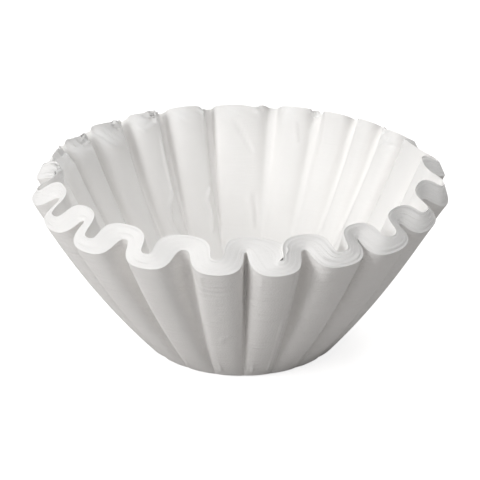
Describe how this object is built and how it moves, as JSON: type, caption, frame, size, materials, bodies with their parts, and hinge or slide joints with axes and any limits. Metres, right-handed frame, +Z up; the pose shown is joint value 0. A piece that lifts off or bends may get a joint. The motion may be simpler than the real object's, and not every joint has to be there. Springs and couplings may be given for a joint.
{
  "type": "nested stack of basket coffee filters",
  "caption": "Flat-bottomed paper coffee filters with fluted, flaring sides, nested one inside another as one pressed bowl with a thick wavy rim of cut edges.",
  "frame": {"origin": "centre of the flat bottom, on the surface the filters stand on", "axes": "+Z up out of the mouth; the side that faces the camera in the picture is -Y, and +X is to its right"},
  "size_m": [0.177, 0.1805, 0.0822],
  "materials": {
    "paper": "matte, bleached, finely creped"
  },
  "bodies": {
    "root": {"filter_nest": "paper"}
  },
  "joints": []
}
